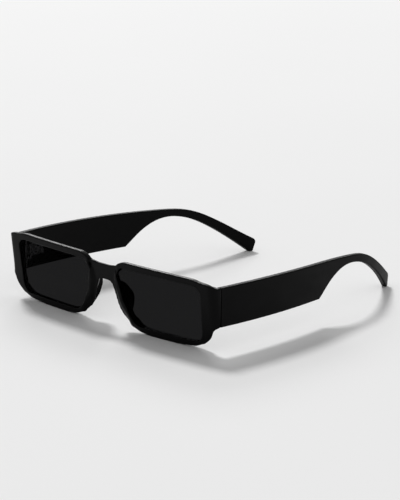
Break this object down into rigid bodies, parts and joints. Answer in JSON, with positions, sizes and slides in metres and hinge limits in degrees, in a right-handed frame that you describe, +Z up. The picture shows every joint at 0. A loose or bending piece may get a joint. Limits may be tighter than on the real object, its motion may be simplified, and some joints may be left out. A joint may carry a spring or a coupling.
{
  "type": "sunglasses",
  "caption": "Low rectangular sunglasses with flat dark lenses, broad straight temples with a notched arch and folding hinges.",
  "frame": {"origin": "on the surface the glasses stand on, under the middle of the open glasses", "axes": "+X to the wearer's left, +Y back along the temples away from the lenses, +Z up"},
  "size_m": [0.1434, 0.1498, 0.0339],
  "materials": {
    "frame_plastic": "satin",
    "temple_plastic": "satin",
    "pad_plastic": "satin",
    "lens_tint": "polished",
    "hinge_metal": "satin",
    "screw_metal": "polished",
    "core_wire": "satin"
  },
  "bodies": {
    "front": {"front_frame": "frame_plastic", "nose_pad_left": "pad_plastic", "nose_pad_right": "pad_plastic", "lens_left": "lens_tint", "lens_right": "lens_tint", "front_hinge_leaf_left": "hinge_metal", "front_hinge_leaf_right": "hinge_metal", "hinge_screw_left": "screw_metal", "hinge_screw_right": "screw_metal", "front_leaf_screws_left": "screw_metal", "front_leaf_screws_right": "screw_metal"},
    "temple_left": {"temple_left": "temple_plastic", "temple_core_left": "core_wire", "temple_hinge_leaf_left": "hinge_metal", "temple_leaf_screws_left": "screw_metal"},
    "temple_right": {"temple_right": "temple_plastic", "temple_core_right": "core_wire", "temple_hinge_leaf_right": "hinge_metal", "temple_leaf_screws_right": "screw_metal"}
  },
  "joints": [
    {"name": "temple_left_fold", "type": "hinge", "parent": "front", "child": "temple_left", "pos_m": [0.06589, -0.0619, 0.02144], "axis": [0, 0, 1], "range_deg": [0, 82]},
    {"name": "temple_right_fold", "type": "hinge", "parent": "front", "child": "temple_right", "pos_m": [-0.06589, -0.0619, 0.02144], "axis": [0, 0, -1], "range_deg": [0, 60]}
  ]
}
